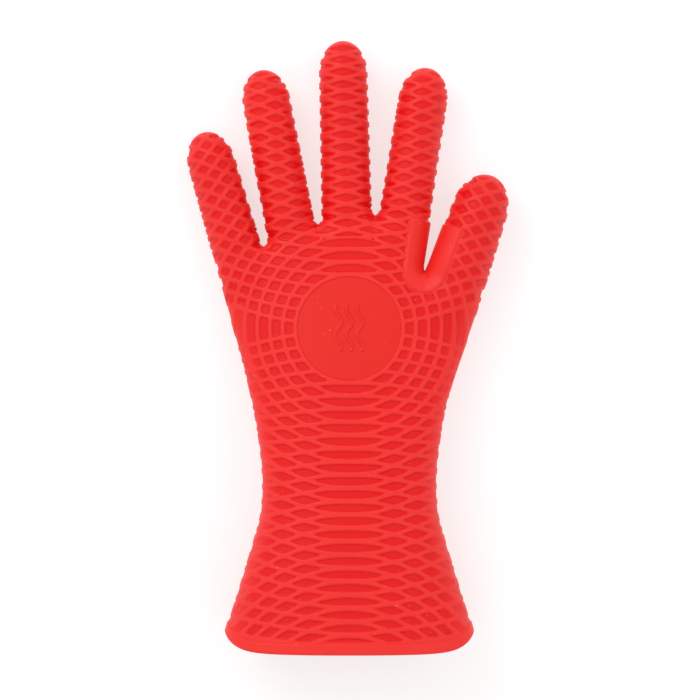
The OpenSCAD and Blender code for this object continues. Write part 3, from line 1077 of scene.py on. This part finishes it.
@dataclass
class WebGuard:
    """The smooth raised band that lines the web between the index finger and the thumb.

    Attributes:
        line: plan points down the index finger's side, to the crotch and up the thumb's side.
        ends: each stall with how far along it the band reaches.
    """

    line: Array
    ends: List[Tuple[Finger, float]]
    width: float = 10.0  # how far the band reaches from its line
    fade: float = 0.6  # how far its edge reaches past that
    overrun: float = 12.0  # how far its line runs past its ends
    back: float = 1.3  # how deep its hidden side lies
    rise: float = 0.7  # its height above the smooth surface
    drop: float = 0.6  # how deep its edge dips below it
    edge: float = 1.3  # the width of its sloping edge
    beside: float = 2.0  # how far past a stall's side its end counts

    @classmethod
    def between(cls, index: Finger, thumb: Finger, crotch: Array) -> "WebGuard":
        """Lays the band from the index finger's root bend round the crotch to the thumb's middle bend.

        Args:
            index: the index finger's stall.
            thumb: the thumb's stall.
            crotch: where they part.

        Returns:
            The guard.
        """
        index_top, thumb_top = index.root_start - cls.fade, thumb.bend[0] - cls.fade
        line = [index.place(np.array(index_top + cls.overrun), np.array(index.radius)), crotch,
                thumb.place(np.array(thumb_top + cls.overrun), np.array(-thumb.radius))]
        return cls(np.array(line), [(index, index_top), (thumb, thumb_top)])

    def distance(self, x: Array, y: Array) -> Array:
        """How far out of the band a place lies, measured from its line.

        It is the least of the distances from the line's straight parts, or the width plus the distance past
        the band's square end if that is more.
        """
        place = np.stack([np.asarray(x, float), np.asarray(y, float)], -1)
        least = np.full(place.shape[:-1], np.inf)
        for start, end in zip(self.line[:-1], self.line[1:]):
            along = end - start
            share = np.clip(((place - start) @ along) / (along @ along), 0.0, 1.0)
            least = np.minimum(least, np.linalg.norm(place - start - share[..., None] * along, axis=-1))
        for finger, top in self.ends:
            s, u = finger.local(x, y)
            past = np.where(np.abs(u) < finger.radius + self.beside, self.width + s - top, 0.0)
            least = np.maximum(least, past)
        return least

    def share(self, x: Array, y: Array) -> Array:
        """1 on the band, 0 outside it, with a smooth step within its edge."""
        return smooth((self.width - self.distance(x, y)) / self.edge)

    def height(self, x: Array, y: Array) -> Array:
        """The band's height above the smooth surface: less than nothing outside, a smooth step up to it."""
        step = smooth((self.width + self.fade - self.distance(x, y)) / self.edge)
        return (self.rise + self.drop) * step - self.drop


@dataclass
class PalmDisc:
    """The smooth round badge in the palm, with three rising lines for heat.

    Attributes:
        radius: its radius.
        surface: coefficients of the polynomial that gives the palm's height round it.
        scale: the length that is 1 in the polynomial.
    """

    radius: float
    surface: Array
    scale: float
    order: int = 5  # of the polynomial
    reach: float = 1.12  # it is fitted out to this share of the disc's radius
    facing: float = 0.3  # the least upward part of a normal there
    recess: float = 0.6  # how far the disc lies below the palm's surface
    back: float = 2.0  # how deep its hidden side lies
    edge: float = 0.45  # its rounded edge
    edge_rings: int = 5
    overlap: float = 0.2  # how far it reaches into the palm round it
    rings: int = 96
    turns: int = 480
    wave_places: Tuple[float, ...] = (-5.2, 0.0, 5.2)  # where the lines stand across
    wave_height: float = 21.0
    wave_swing: float = 1.5
    wave_length: float = 12.0
    wave_width: float = 1.6
    wave_soft: float = 0.3  # how far a line's sloping side reaches past its width
    wave_fade: float = 0.75  # the width of that side
    wave_rise: float = 0.6

    @classmethod
    def terms(cls, x: Array, y: Array, scale: float) -> Array:
        """Every product of powers of x and y up to the order, one column each."""
        return np.stack([(x / scale) ** i * (y / scale) ** j for i in range(cls.order + 1)
                         for j in range(cls.order + 1 - i)], -1)

    @classmethod
    def on_skin(cls, skin: Skin, radius: float) -> "PalmDisc":
        """Fits the polynomial to the skin's smooth top round the disc by least squares."""
        x, y, z = skin.base.T
        near = (np.hypot(x, y) < cls.reach * radius) & (skin.base_normals[:, 2] > cls.facing)
        terms = cls.terms(x[near], y[near], radius)
        surface, *_ = np.linalg.lstsq(terms, z[near], rcond=None)
        error = np.abs(terms @ surface - z[near]).max()
        LOG.info("palm disc: surface fitted within %.3f mm", error)
        return cls(radius + cls.overlap, surface, radius)

    def waves(self, x: Array, y: Array) -> Array:
        """The lines' height: each runs along y as a sine, with a rounded section and tapering ends."""
        swing = 2.0 * math.pi / self.wave_length
        centre = self.wave_swing * np.sin(swing * y)
        slope = self.wave_swing * swing * np.cos(swing * y)
        rise = np.zeros_like(x)
        past = np.maximum(0.0, np.abs(y) - self.wave_height / 2.0)
        for start in self.wave_places:
            across = (x - start - centre) / np.hypot(1.0, slope)
            inside = self.wave_width / 2.0 + self.wave_soft - np.hypot(across, past)
            rise = np.maximum(rise, smooth(inside / self.wave_fade))
        return self.wave_rise * rise

    def shell(self) -> Shell:
        """The disc: rings of points about its centre, the recess below the palm's surface, and a hidden back.

        The edge falls away on a quarter circle.
        """
        turn = np.linspace(0.0, math.pi / 2.0, self.edge_rings + 1)[1:]
        radii = np.concatenate([np.linspace(0.0, self.radius - self.edge, self.rings)[1:],
                                self.radius - self.edge * (1.0 - np.sin(turn))])
        fall = np.concatenate([np.zeros(self.rings - 1), self.edge * (1.0 - np.cos(turn))])
        angle = np.arange(self.turns) * 2.0 * math.pi / self.turns
        x, y = np.outer(radii, np.cos(angle)), np.outer(radii, np.sin(angle))
        z = self.terms(x, y, self.scale) @ self.surface - self.recess - fall[:, None] + self.waves(x, y)
        rim = np.stack([x[-1], y[-1], z[-1] - self.back + self.edge], -1)
        centre_z = float(self.surface[0]) - self.recess
        crest = float(self.waves(np.zeros(1), np.zeros(1))[0])
        points = np.concatenate([[[0.0, 0.0, centre_z + crest]], np.stack([x, y, z], -1).reshape(-1, 3), rim,
                                 [[0.0, 0.0, centre_z - self.back]]])
        rows = len(radii) + 1
        number = 1 + np.arange(rows * self.turns).reshape(rows, self.turns)
        turned = np.roll(number, -1, axis=1)
        quads = np.stack([number[:-1], number[1:], turned[1:], turned[:-1]], -1).reshape(-1, 4)
        middle = np.stack([np.zeros(self.turns, int), number[0], turned[0]], -1)
        under = np.stack([np.full(self.turns, len(points) - 1), turned[-1], number[-1]], -1)
        return Shell(points, [quads, middle, under], np.zeros_like(points), np.zeros(len(points)))


@dataclass
class HemBead:
    """The smooth band round the cuff's open end.

    Attributes:
        wall: the cuff's thickness.
    """

    wall: float
    width: float = 5.0  # how far it reaches up the cuff
    proud: float = 0.5  # how far it stands out on both sides
    lip: float = 0.35  # how far it reaches past the open edge
    lip_start: float = 0.9  # where its rounded lip starts
    lip_power: float = 0.7  # less than 1 makes the lip blunt
    lip_steps: int = 13
    run_start: float = 1.2  # where its flat sides start
    run_end: float = 0.9  # how far short of its width they end
    run_steps: int = 6
    # Its eased back corners, as steps from where the sharp ones would be.
    back_in: Tuple[Tuple[float, float], ...] = ((-0.5, 0.0), (0.0, 0.5), (0.1, 1.1))
    back_out: Tuple[Tuple[float, float], ...] = ((0.1, -1.1), (0.0, -0.45), (-0.25, -0.12), (-0.6, 0.0))

    def profile(self) -> Array:
        """The section, as distances up the cuff and out of it: a rectangle, round lipped and eased behind."""
        outer, inner = self.proud, -self.wall - self.proud
        middle, half = (outer + inner) / 2.0, (outer - inner) / 2.0
        turn = np.linspace(0.0, math.pi, self.lip_steps)
        reach = (self.lip + self.lip_start) * np.sin(turn) ** self.lip_power
        lip = np.stack([self.lip_start - reach, middle + half * np.cos(turn)], 1)
        run = np.linspace(self.width - self.run_end, self.run_start, self.run_steps)
        return np.concatenate([lip, np.stack([run[::-1], np.full_like(run, inner)], 1),
                               np.array(self.back_in) + [self.width, inner],
                               np.array(self.back_out) + [self.width, outer],
                               np.stack([run, np.full_like(run, outer)], 1)])

    def shell(self, skin: Skin) -> Shell:
        """Carries the section along the open end.

        Args:
            skin: the glove's skin.

        Returns:
            The closed ring. A point is the edge's, plus its distances along the two directions there.
        """
        points, normals, inward = skin.open_end()
        up, out = self.profile().T
        ring = points[:, None] + up[None, :, None] * inward[:, None] + out[None, :, None] * normals[:, None]
        ring[..., 2] = np.maximum(ring[..., 2], 0.0)
        count, around = ring.shape[:2]
        number = np.arange(count * around).reshape(count, around)
        ahead, aside = np.roll(number, -1, axis=0), np.roll(number, -1, axis=1)
        both = np.roll(ahead, -1, axis=1)
        quads = np.stack([number, aside, both, ahead], -1).reshape(-1, 4)
        flat = ring.reshape(-1, 3)
        return Shell(flat, [quads], np.zeros_like(flat), np.zeros(len(flat)))


@dataclass(frozen=True)
class Silicone:
    """A moulded silicone finish.

    Attributes:
        name: the material's name.
        crest: the colour on the ribs and smooth parts, linear.
        pit_shade: the colour down in the pits, linear; darker than the crest to paint in the shade that falls
            there.
        roughness: the middle roughness.
        grain: how strong the fine moulded grain is.
    """

    name: str
    crest: Tuple[float, float, float]
    pit_shade: Tuple[float, float, float]
    roughness: float
    grain: float
    grain_noise: Tuple[float, float] = (1900.0, 2.0)  # a noise's scale, per metre, and its detail
    grain_height: float = 0.00008  # in metres
    cloud_noise: Tuple[float, float] = (26.0, 3.0)
    cloud: float = 0.05  # how much lighter or darker the cloud makes the colour
    lint_noise: Tuple[float, float] = (620.0, 1.0)
    lint_range: Tuple[float, float] = (0.75, 0.83)  # the noise's values between which a speck appears
    lint: float = 0.25  # a speck's strength
    lint_colour: Tuple[float, float, float] = (0.95, 0.42, 0.36)
    rough_noise: Tuple[float, float] = (234.0, 4.0)
    rough_swing: float = 0.05
    ior: float = 1.43
    specular: float = 0.36

    def material(self) -> bpy.types.Material:
        """Builds the node tree.

        The relief attribute mixes the two colours, which paints shade into the pits; a broad noise lightens
        and darkens them a little, and the peaks of a finer one are specks of lint. Another varies the
        roughness, and the finest gives the grain's bump.

        Returns:
            The material.
        """
        material = bpy.data.materials.new(self.name)
        material.use_nodes = True
        nodes, links = material.node_tree.nodes, material.node_tree.links
        shader = nodes["Principled BSDF"]
        shader.inputs["IOR"].default_value = self.ior
        shader.inputs["Specular IOR Level"].default_value = self.specular
        coords = nodes.new("ShaderNodeTexCoord").outputs["Object"]
        relief = nodes.new("ShaderNodeAttribute")
        relief.attribute_name = "relief"
        # Painted shade: the pits take the darker second colour by their relief, standing in for the shade
        # that falls in them.
        colours = nodes.new("ShaderNodeMix")
        colours.data_type = "RGBA"
        colours.inputs["A"].default_value = (*self.crest, 1.0)
        colours.inputs["B"].default_value = (*self.pit_shade, 1.0)
        links.new(relief.outputs["Fac"], colours.inputs["Factor"])
        cloud = self.noise(nodes, links, coords, self.cloud_noise)
        shade = nodes.new("ShaderNodeMapRange")
        shade.inputs["To Min"].default_value = 1.0 - self.cloud
        shade.inputs["To Max"].default_value = 1.0 + self.cloud
        links.new(cloud, shade.inputs["Value"])
        tint = nodes.new("ShaderNodeVectorMath")
        tint.operation = "SCALE"
        links.new(colours.outputs["Result"], tint.inputs[0])
        links.new(shade.outputs["Result"], tint.inputs["Scale"])
        lint = nodes.new("ShaderNodeMapRange")
        lint.inputs["From Min"].default_value, lint.inputs["From Max"].default_value = self.lint_range
        lint.inputs["To Max"].default_value = self.lint
        links.new(self.noise(nodes, links, coords, self.lint_noise), lint.inputs["Value"])
        dusted = nodes.new("ShaderNodeMix")
        dusted.data_type = "RGBA"
        dusted.inputs["B"].default_value = (*self.lint_colour, 1.0)
        links.new(lint.outputs["Result"], dusted.inputs["Factor"])
        links.new(tint.outputs["Vector"], dusted.inputs["A"])
        links.new(dusted.outputs["Result"], shader.inputs["Base Color"])
        rough = nodes.new("ShaderNodeMapRange")
        rough.inputs["To Min"].default_value = self.roughness - self.rough_swing
        rough.inputs["To Max"].default_value = self.roughness + self.rough_swing
        links.new(self.noise(nodes, links, coords, self.rough_noise), rough.inputs["Value"])
        links.new(rough.outputs["Result"], shader.inputs["Roughness"])
        bump = nodes.new("ShaderNodeBump")
        bump.inputs["Strength"].default_value = self.grain
        bump.inputs["Distance"].default_value = self.grain_height
        links.new(self.noise(nodes, links, coords, self.grain_noise), bump.inputs["Height"])
        links.new(bump.outputs["Normal"], shader.inputs["Normal"])
        return material

    @staticmethod
    def noise(nodes: bpy.types.Nodes, links: bpy.types.NodeLinks, coords: bpy.types.NodeSocket,
              texture: Tuple[float, float]) -> bpy.types.NodeSocket:
        """Adds a noise texture.

        Args:
            nodes: the tree's nodes.
            links: the tree's links.
            coords: the coordinates it reads.
            texture: its scale and its detail.

        Returns:
            Its factor output.
        """
        noise = nodes.new("ShaderNodeTexNoise")
        noise.inputs["Scale"].default_value, noise.inputs["Detail"].default_value = texture
        links.new(coords, noise.inputs["Vector"])
        return noise.outputs["Fac"]


# The second colour of each finish is painted shade, used down in the pits.
RIBBED = Silicone("ribbed_silicone_red", (0.84, 0.023, 0.018), (0.755, 0.0, 0.002), 0.47, 0.35)
SMOOTH = Silicone("smooth_silicone_red", (0.84, 0.023, 0.018), (0.755, 0.0, 0.002), 0.44, 0.3)
BADGE = Silicone("badge_silicone_red", (0.78, 0.013, 0.007), (0.74, 0.002, 0.004), 0.44, 0.3)


@dataclass
class Glove:
    """Cuts the skin into pieces, lays the patches on it, and fastens the cuff's and palm's pieces to their
    bodies.

    Attributes:
        skin: the moulded surface.
        guard: the web guard.
        disc: the palm's badge.
        bead: the hem's band.
        fingers: the stalls, in order across the palm.
        ribbed: the lattice's material.
        smooth: the material of the hem and the web guard.
        badge: the disc's material.
    """

    skin: Skin
    guard: WebGuard
    disc: PalmDisc
    bead: HemBead
    fingers: List[Finger]
    ribbed: bpy.types.Material
    smooth: bpy.types.Material
    badge: bpy.types.Material
    wall: float = 2.4  # the moulding's thickness

    def dress(self, shell: Shell, name: str, finish: bpy.types.Material) -> bpy.types.Object:
        """Makes a shell a piece with its finish and a line in the log."""
        piece = shell.piece(name)
        piece.data.materials.append(finish)
        triangles = sum(len(faces) * (faces.shape[1] - 2) for faces in shell.polygons)
        LOG.info("%s: %d triangles", name, triangles)
        return piece

    def build_cuff(self) -> None:
        """Makes the cuff's two halves, its hem and the wrist's bend."""
        form = self.skin.net.form
        for name, region in (("cuff_front", Region.CUFF_FRONT), ("cuff_back", Region.CUFF_BACK)):
            piece = self.dress(self.skin.section((region,)), name, self.ribbed)
            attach(piece, "gauntlet")
            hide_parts("cuff_shell")
        hem = self.dress(self.bead.shell(self.skin), "hem_bead", self.smooth)
        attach(hem, "gauntlet")
        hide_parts("hem_band_ring")
        wrist = self.dress(self.skin.section((Region.WRIST,)), "wrist_fold", self.ribbed)
        height = float(form.mid(form.palm_start)) * MM
        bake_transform(wrist)
        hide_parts("wrist_bend")

    def build_palm(self) -> None:
        """Makes the palm's two halves, the disc and the web guard's part on the palm."""
        for name, region in (("palm_front", Region.PALM_FRONT), ("palm_back", Region.PALM_BACK)):
            piece = self.dress(self.skin.section((region,)), name, self.ribbed)
            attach(piece, "hand")
            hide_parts("palm_shell")
        disc = self.dress(self.disc.shell(), "palm_disc_face", self.badge)
        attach(disc, "hand")
        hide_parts("palm_disc")
        shell = self.skin.patch((Region.PALM_FRONT, Region.PALM_BACK), self.guard.height, self.guard.back)
        guard = self.dress(shell, "web_guard_palm", self.smooth)
        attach(guard, "hand")
        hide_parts("thumb_web_guard")

    def build_stalls(self) -> None:
        """Makes each stall's lower and upper part, and the web guard's part on the thumb."""
        for number, finger in enumerate(self.fingers):
            name = finger.digit.value
            region = Region.FIRST_STALL + 2 * number
            lower = self.dress(self.skin.section((region,)), f"{name}_lower", self.ribbed)
            self.bend_root(lower)
            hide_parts(f"{name}_root_bend", f"{name}_lower_stall")
            upper = self.dress(self.skin.section((region + 1,)), f"{name}_upper", self.ribbed)
            finger.point3(finger.bend[0])
            finger.point3(finger.bend[1])
            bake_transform(upper)
            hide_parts(f"{name}_mid_bend", f"{name}_tip_stall")
        region = Region.FIRST_STALL + 2 * (len(self.fingers) - 1)
        shell = self.skin.patch((region,), self.guard.height, self.guard.back)
        guard = self.dress(shell, "web_guard_thumb", self.smooth)
        self.bend_root(guard)
        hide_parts("thumb_web_guard")

    def bend_root(self, piece: bpy.types.Object) -> None:
        """Bakes a stall piece's place into its mesh."""
        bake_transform(piece)


@dataclass
class Studio:
    """The floor, the lights and the camera.

    Attributes:
        centre: the plan point of the palm disc, in metres, as all lengths here are.
    """

    centre: Tuple[float, float]
    aside: Tuple[float, float] = (0.0003, -0.0103)  # from the disc to the point below the camera
    height: float = 1.014  # the camera's
    lens: float = 105.0
    sensor: float = 36.0
    paper: Tuple[float, float, float] = (0.4, 0.4, 0.4)
    paper_roughness: float = 0.9
    half_floor: float = 6.0
    floor_drop: float = 0.0002  # keeps the floor clear of the glove's underside
    glow: float = 0.62  # the floor's own light, which keeps it evenly pale
    world: float = 0.88
    lamps: Tuple[Tuple[str, Tuple[float, float, float], float, float], ...] = (
        ("key", (-0.75, 0.85, 1.1), 0.8, 6.5), ("fill", (0.9, 0.3, 1.2), 1.0, 1.2))

    def floor(self) -> None:
        """Lays a wide pale sheet under the glove."""
        mesh = bpy.data.meshes.new("floor")
        half = self.half_floor
        mesh.from_pydata([(-half, -half, 0.0), (half, -half, 0.0), (half, half, 0.0), (-half, half, 0.0)], [],
                         [(0, 1, 2, 3)])
        floor = bpy.data.objects.new("floor", mesh)
        floor.location.z = -self.floor_drop
        bpy.context.collection.objects.link(floor)
        material = bpy.data.materials.new("pale_paper")
        material.use_nodes = True
        shader = material.node_tree.nodes["Principled BSDF"]
        shader.inputs["Base Color"].default_value = (*self.paper, 1.0)
        shader.inputs["Roughness"].default_value = self.paper_roughness
        shader.inputs["Emission Color"].default_value = (1.0, 1.0, 1.0, 1.0)
        shader.inputs["Emission Strength"].default_value = self.glow
        mesh.materials.append(material)

    def light(self, name: str, place: Tuple[float, float, float], size: float, watts: float) -> None:
        """Hangs a square soft light that faces the glove.

        Args:
            name: its name.
            place: where it hangs, in metres.
            size: its side.
            watts: its power.
        """
        lamp = bpy.data.lights.new(name, "AREA")
        lamp.size, lamp.energy = size, watts
        holder = bpy.data.objects.new(name, lamp)
        holder.location = place
        holder.rotation_euler = (-Vector(place)).to_track_quat("-Z", "Y").to_euler()
        bpy.context.collection.objects.link(holder)

    def build(self) -> None:
        """Sets up the floor, the world, the lights and the camera, and shows colours as they are."""
        self.floor()
        world = bpy.data.worlds.new("studio")
        world.use_nodes = True
        background = world.node_tree.nodes["Background"]
        background.inputs["Color"].default_value = (1.0, 1.0, 1.0, 1.0)
        background.inputs["Strength"].default_value = self.world
        bpy.context.scene.world = world
        bpy.context.scene.view_settings.view_transform = "Standard"
        for lamp in self.lamps:
            self.light(*lamp)
        camera = bpy.data.cameras.new("camera")
        camera.lens, camera.sensor_width = self.lens, self.sensor
        holder = bpy.data.objects.new("camera", camera)
        holder.location = (self.centre[0] + self.aside[0], self.centre[1] + self.aside[1], self.height)
        bpy.context.collection.objects.link(holder)
        bpy.context.scene.camera = holder


def main() -> None:
    """Builds the glove round the frame, then the studio."""
    logging.basicConfig(level=logging.INFO, format="%(message)s")
    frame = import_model()
    fingers = [Finger.from_frame(digit, frame) for digit in Digit]
    by_digit = {finger.digit: finger for finger in fingers}
    form = Form.from_frame(frame, by_digit[Digit.THUMB], by_digit[Digit.RING])
    net = Net(form, fingers).build()
    low, high = box_mm("palm_disc")
    disc_radius = float(high[0] - low[0]) / 2.0
    guard = WebGuard.between(by_digit[Digit.INDEX], by_digit[Digit.THUMB], net.crotches()[-1])
    skin = Skin(net, Lattice(form, by_digit, disc_radius), guard, disc_radius, Glove.wall)
    glove = Glove(skin, guard, PalmDisc.on_skin(skin, disc_radius), HemBead(Glove.wall), fingers,
                  RIBBED.material(), SMOOTH.material(), BADGE.material())
    glove.build_cuff()
    glove.build_palm()
    glove.build_stalls()
    Studio(((low[0] + high[0]) / 2.0 * MM, (low[1] + high[1]) / 2.0 * MM)).build()


if __name__ == "__main__":
    main()
